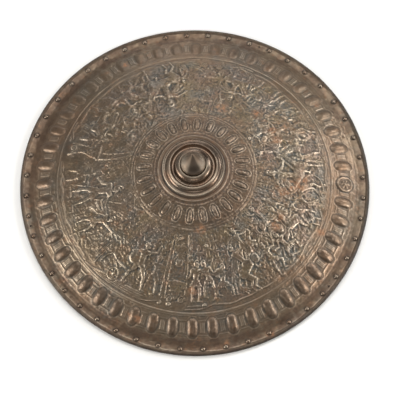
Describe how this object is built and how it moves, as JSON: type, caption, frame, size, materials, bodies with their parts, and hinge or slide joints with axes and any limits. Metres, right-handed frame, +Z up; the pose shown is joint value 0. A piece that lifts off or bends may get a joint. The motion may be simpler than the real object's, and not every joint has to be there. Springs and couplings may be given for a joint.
{
  "type": "round parade shield",
  "caption": "Round domed iron shield with a rolled rim, embossed ovals and figure scenes, a turned boss and a spike, lying on its rim.",
  "frame": {"origin": "on the surface the shield lies on, under the middle of the rolled rim", "axes": "+Z up along the axis of the boss and spike, -Y towards the viewer, +X towards the single round medallion in the row of ovals"},
  "size_m": [0.58, 0.5799, 0.1468],
  "materials": {
    "plate_iron": "brown patina on embossed iron, semi-gloss, lighter on the crests, dark in the hollows, with rust patches",
    "boss_iron": "smooth turned iron, brown patina, glossier than the plate",
    "rivet_iron": "round rivet heads, brown patina, worn lighter on top"
  },
  "bodies": {
    "root": {"shield_plate": "plate_iron", "boss": "boss_iron", "spike": "boss_iron", "rivet_01": "rivet_iron", "rivet_02": "rivet_iron", "rivet_03": "rivet_iron", "rivet_04": "rivet_iron", "rivet_05": "rivet_iron", "rivet_06": "rivet_iron", "rivet_07": "rivet_iron", "rivet_08": "rivet_iron", "rivet_09": "rivet_iron", "rivet_10": "rivet_iron", "rivet_11": "rivet_iron", "rivet_12": "rivet_iron", "rivet_13": "rivet_iron", "rivet_14": "rivet_iron", "rivet_15": "rivet_iron", "rivet_16": "rivet_iron", "rivet_17": "rivet_iron", "rivet_18": "rivet_iron", "rivet_19": "rivet_iron", "rivet_20": "rivet_iron", "rivet_21": "rivet_iron", "rivet_22": "rivet_iron", "rivet_23": "rivet_iron", "rivet_24": "rivet_iron", "rivet_25": "rivet_iron", "rivet_26": "rivet_iron", "rivet_27": "rivet_iron", "rivet_28": "rivet_iron", "rivet_29": "rivet_iron", "rivet_30": "rivet_iron", "rivet_31": "rivet_iron", "rivet_32": "rivet_iron", "rivet_33": "rivet_iron", "rivet_34": "rivet_iron", "rivet_35": "rivet_iron", "rivet_36": "rivet_iron", "rivet_37": "rivet_iron", "rivet_38": "rivet_iron", "rivet_39": "rivet_iron", "rivet_40": "rivet_iron", "rivet_41": "rivet_iron", "rivet_42": "rivet_iron", "rivet_43": "rivet_iron", "rivet_44": "rivet_iron", "rivet_45": "rivet_iron", "rivet_46": "rivet_iron", "rivet_47": "rivet_iron", "rivet_48": "rivet_iron"}
  },
  "joints": []
}
